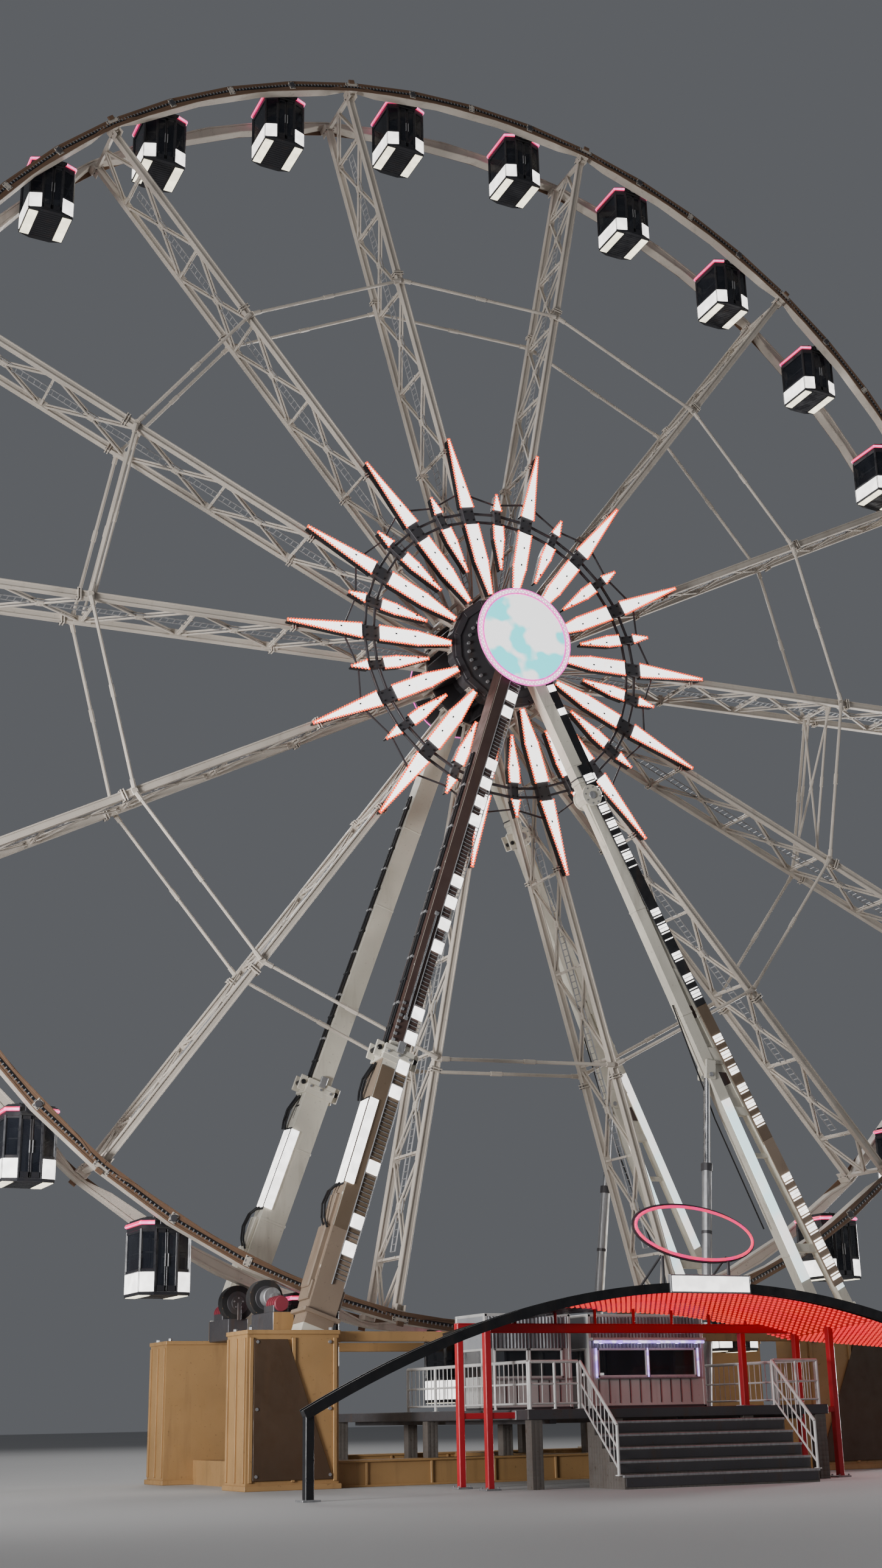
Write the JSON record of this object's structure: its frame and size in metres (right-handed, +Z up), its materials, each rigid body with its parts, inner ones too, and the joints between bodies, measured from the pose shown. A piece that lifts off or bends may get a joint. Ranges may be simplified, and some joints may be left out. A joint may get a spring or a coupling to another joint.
{
  "type": "ferris wheel, 1:2 scale model",
  "caption": "Half-size observation wheel with box rims, lattice spokes, level enclosed cabins, a lit hub star, folding and telescoping legs, a base frame and a canopied boarding deck",
  "frame": {"origin": "on the ground under the middle of the axle, on the underside of the middle cross beam", "axes": "+Z up; the axle lies along Y and the front of the wheel, with the star and the boarding deck, faces -Y; +X is to the right seen from the front"},
  "size_m": [20.5988, 6.95, 21.9146],
  "materials": {
    "rim_paint": "semi-gloss, lightly soiled",
    "spoke_paint": "semi-gloss, lightly soiled",
    "leg_paint": "semi-gloss, soiled near the foot",
    "hub_steel": "satin dark grey",
    "light_panel": "lit translucent panel",
    "cabin_shell": "gloss dark shell",
    "base_paint": "matt, weathered",
    "deck_plate": "chequered tread plate",
    "canopy_paint": "satin red",
    "booth_paint": "semi-gloss white"
  },
  "bodies": {
    "ground_frame": {"axle": "hub_steel", "hub_disc_front": "light_panel", "hub_disc_back": "light_panel", "leg_front_left": "leg_paint", "leg_front_right": "leg_paint", "leg_back_left": "leg_paint", "leg_back_right": "leg_paint", "base_frame": "base_paint", "platform": "deck_plate", "canopy": "canopy_paint", "booth": "booth_paint", "ticket_booth": "booth_paint"},
    "wheel": {"rim_front": "rim_paint", "rim_back": "rim_paint", "tie_rods_front": "spoke_paint", "tie_rods_back": "spoke_paint", "spoke_01": "spoke_paint", "spoke_02": "spoke_paint", "spoke_03": "spoke_paint", "spoke_04": "spoke_paint", "spoke_05": "spoke_paint", "spoke_06": "spoke_paint", "spoke_07": "spoke_paint", "spoke_08": "spoke_paint", "spoke_09": "spoke_paint", "spoke_10": "spoke_paint", "spoke_11": "spoke_paint", "spoke_12": "spoke_paint", "spoke_13": "spoke_paint", "spoke_14": "spoke_paint", "hub": "hub_steel", "star": "light_panel"},
    "cabin_01": {"cabin_01": "cabin_shell"},
    "cabin_02": {"cabin_02": "cabin_shell"},
    "cabin_03": {"cabin_03": "cabin_shell"},
    "cabin_04": {"cabin_04": "cabin_shell"},
    "cabin_05": {"cabin_05": "cabin_shell"},
    "cabin_06": {"cabin_06": "cabin_shell"},
    "cabin_07": {"cabin_07": "cabin_shell"},
    "cabin_08": {"cabin_08": "cabin_shell"},
    "cabin_09": {"cabin_09": "cabin_shell"},
    "cabin_10": {"cabin_10": "cabin_shell"},
    "cabin_11": {"cabin_11": "cabin_shell"},
    "cabin_12": {"cabin_12": "cabin_shell"},
    "cabin_13": {"cabin_13": "cabin_shell"},
    "cabin_14": {"cabin_14": "cabin_shell"},
    "cabin_15": {"cabin_15": "cabin_shell"},
    "cabin_16": {"cabin_16": "cabin_shell"},
    "cabin_17": {"cabin_17": "cabin_shell"},
    "cabin_18": {"cabin_18": "cabin_shell"},
    "cabin_19": {"cabin_19": "cabin_shell"},
    "cabin_20": {"cabin_20": "cabin_shell"},
    "cabin_21": {"cabin_21": "cabin_shell"},
    "cabin_22": {"cabin_22": "cabin_shell"},
    "cabin_23": {"cabin_23": "cabin_shell"},
    "cabin_24": {"cabin_24": "cabin_shell"},
    "cabin_25": {"cabin_25": "cabin_shell"},
    "cabin_26": {"cabin_26": "cabin_shell"},
    "cabin_27": {"cabin_27": "cabin_shell"},
    "cabin_28": {"cabin_28": "cabin_shell"}
  },
  "joints": [
    {"name": "wheel_spin", "type": "hinge", "parent": "ground_frame", "child": "wheel", "pos_m": [0, 0, 11.84], "axis": [0, 1, 0], "continuous": true},
    {"name": "cabin_01_level", "type": "hinge", "parent": "wheel", "child": "cabin_01", "pos_m": [-1.4438, 0, 21.7352], "axis": [0, 1, 0], "continuous": true},
    {"name": "cabin_02_level", "type": "hinge", "parent": "wheel", "child": "cabin_02", "pos_m": [0.7943, 0, 21.8084], "axis": [0, 1, 0], "continuous": true},
    {"name": "cabin_03_level", "type": "hinge", "parent": "wheel", "child": "cabin_03", "pos_m": [2.9925, 0, 21.3817], "axis": [0, 1, 0], "continuous": true},
    {"name": "cabin_04_level", "type": "hinge", "parent": "wheel", "child": "cabin_04", "pos_m": [5.0408, 0, 20.4766], "axis": [0, 1, 0], "continuous": true},
    {"name": "cabin_05_level", "type": "hinge", "parent": "wheel", "child": "cabin_05", "pos_m": [6.8362, 0, 19.1384], "axis": [0, 1, 0], "continuous": true},
    {"name": "cabin_06_level", "type": "hinge", "parent": "wheel", "child": "cabin_06", "pos_m": [8.2888, 0, 17.4342], "axis": [0, 1, 0], "continuous": true},
    {"name": "cabin_07_level", "type": "hinge", "parent": "wheel", "child": "cabin_07", "pos_m": [9.3259, 0, 15.4495], "axis": [0, 1, 0], "continuous": true},
    {"name": "cabin_08_level", "type": "hinge", "parent": "wheel", "child": "cabin_08", "pos_m": [9.8952, 0, 13.2838], "axis": [0, 1, 0], "continuous": true},
    {"name": "cabin_09_level", "type": "hinge", "parent": "wheel", "child": "cabin_09", "pos_m": [9.9684, 0, 11.0457], "axis": [0, 1, 0], "continuous": true},
    {"name": "cabin_10_level", "type": "hinge", "parent": "wheel", "child": "cabin_10", "pos_m": [9.5417, 0, 8.8475], "axis": [0, 1, 0], "continuous": true},
    {"name": "cabin_11_level", "type": "hinge", "parent": "wheel", "child": "cabin_11", "pos_m": [8.6366, 0, 6.7992], "axis": [0, 1, 0], "continuous": true},
    {"name": "cabin_12_level", "type": "hinge", "parent": "wheel", "child": "cabin_12", "pos_m": [7.2984, 0, 5.0038], "axis": [0, 1, 0], "continuous": true},
    {"name": "cabin_13_level", "type": "hinge", "parent": "wheel", "child": "cabin_13", "pos_m": [5.5942, 0, 3.5512], "axis": [0, 1, 0], "continuous": true},
    {"name": "cabin_14_level", "type": "hinge", "parent": "wheel", "child": "cabin_14", "pos_m": [3.6095, 0, 2.5141], "axis": [0, 1, 0], "continuous": true},
    {"name": "cabin_15_level", "type": "hinge", "parent": "wheel", "child": "cabin_15", "pos_m": [1.4438, 0, 1.9448], "axis": [0, 1, 0], "continuous": true},
    {"name": "cabin_16_level", "type": "hinge", "parent": "wheel", "child": "cabin_16", "pos_m": [-0.7943, 0, 1.8716], "axis": [0, 1, 0], "continuous": true},
    {"name": "cabin_17_level", "type": "hinge", "parent": "wheel", "child": "cabin_17", "pos_m": [-2.9925, 0, 2.2983], "axis": [0, 1, 0], "continuous": true},
    {"name": "cabin_18_level", "type": "hinge", "parent": "wheel", "child": "cabin_18", "pos_m": [-5.0408, 0, 3.2034], "axis": [0, 1, 0], "continuous": true},
    {"name": "cabin_19_level", "type": "hinge", "parent": "wheel", "child": "cabin_19", "pos_m": [-6.8362, 0, 4.5416], "axis": [0, 1, 0], "continuous": true},
    {"name": "cabin_20_level", "type": "hinge", "parent": "wheel", "child": "cabin_20", "pos_m": [-8.2888, 0, 6.2458], "axis": [0, 1, 0], "continuous": true},
    {"name": "cabin_21_level", "type": "hinge", "parent": "wheel", "child": "cabin_21", "pos_m": [-9.3259, 0, 8.2305], "axis": [0, 1, 0], "continuous": true},
    {"name": "cabin_22_level", "type": "hinge", "parent": "wheel", "child": "cabin_22", "pos_m": [-9.8952, 0, 10.3962], "axis": [0, 1, 0], "continuous": true},
    {"name": "cabin_23_level", "type": "hinge", "parent": "wheel", "child": "cabin_23", "pos_m": [-9.9684, 0, 12.6343], "axis": [0, 1, 0], "continuous": true},
    {"name": "cabin_24_level", "type": "hinge", "parent": "wheel", "child": "cabin_24", "pos_m": [-9.5417, 0, 14.8325], "axis": [0, 1, 0], "continuous": true},
    {"name": "cabin_25_level", "type": "hinge", "parent": "wheel", "child": "cabin_25", "pos_m": [-8.6366, 0, 16.8808], "axis": [0, 1, 0], "continuous": true},
    {"name": "cabin_26_level", "type": "hinge", "parent": "wheel", "child": "cabin_26", "pos_m": [-7.2984, 0, 18.6762], "axis": [0, 1, 0], "continuous": true},
    {"name": "cabin_27_level", "type": "hinge", "parent": "wheel", "child": "cabin_27", "pos_m": [-5.5942, 0, 20.1288], "axis": [0, 1, 0], "continuous": true},
    {"name": "cabin_28_level", "type": "hinge", "parent": "wheel", "child": "cabin_28", "pos_m": [-3.6095, 0, 21.1659], "axis": [0, 1, 0], "continuous": true}
  ],
  "couplings": [
    {"joint": "cabin_01_level", "follows": "wheel_spin", "ratio": -1},
    {"joint": "cabin_02_level", "follows": "wheel_spin", "ratio": -1},
    {"joint": "cabin_03_level", "follows": "wheel_spin", "ratio": -1},
    {"joint": "cabin_04_level", "follows": "wheel_spin", "ratio": -1},
    {"joint": "cabin_05_level", "follows": "wheel_spin", "ratio": -1},
    {"joint": "cabin_06_level", "follows": "wheel_spin", "ratio": -1},
    {"joint": "cabin_07_level", "follows": "wheel_spin", "ratio": -1},
    {"joint": "cabin_08_level", "follows": "wheel_spin", "ratio": -1},
    {"joint": "cabin_09_level", "follows": "wheel_spin", "ratio": -1},
    {"joint": "cabin_10_level", "follows": "wheel_spin", "ratio": -1},
    {"joint": "cabin_11_level", "follows": "wheel_spin", "ratio": -1},
    {"joint": "cabin_12_level", "follows": "wheel_spin", "ratio": -1},
    {"joint": "cabin_13_level", "follows": "wheel_spin", "ratio": -1},
    {"joint": "cabin_14_level", "follows": "wheel_spin", "ratio": -1},
    {"joint": "cabin_15_level", "follows": "wheel_spin", "ratio": -1},
    {"joint": "cabin_16_level", "follows": "wheel_spin", "ratio": -1},
    {"joint": "cabin_17_level", "follows": "wheel_spin", "ratio": -1},
    {"joint": "cabin_18_level", "follows": "wheel_spin", "ratio": -1},
    {"joint": "cabin_19_level", "follows": "wheel_spin", "ratio": -1},
    {"joint": "cabin_20_level", "follows": "wheel_spin", "ratio": -1},
    {"joint": "cabin_21_level", "follows": "wheel_spin", "ratio": -1},
    {"joint": "cabin_22_level", "follows": "wheel_spin", "ratio": -1},
    {"joint": "cabin_23_level", "follows": "wheel_spin", "ratio": -1},
    {"joint": "cabin_24_level", "follows": "wheel_spin", "ratio": -1},
    {"joint": "cabin_25_level", "follows": "wheel_spin", "ratio": -1},
    {"joint": "cabin_26_level", "follows": "wheel_spin", "ratio": -1},
    {"joint": "cabin_27_level", "follows": "wheel_spin", "ratio": -1},
    {"joint": "cabin_28_level", "follows": "wheel_spin", "ratio": -1}
  ]
}
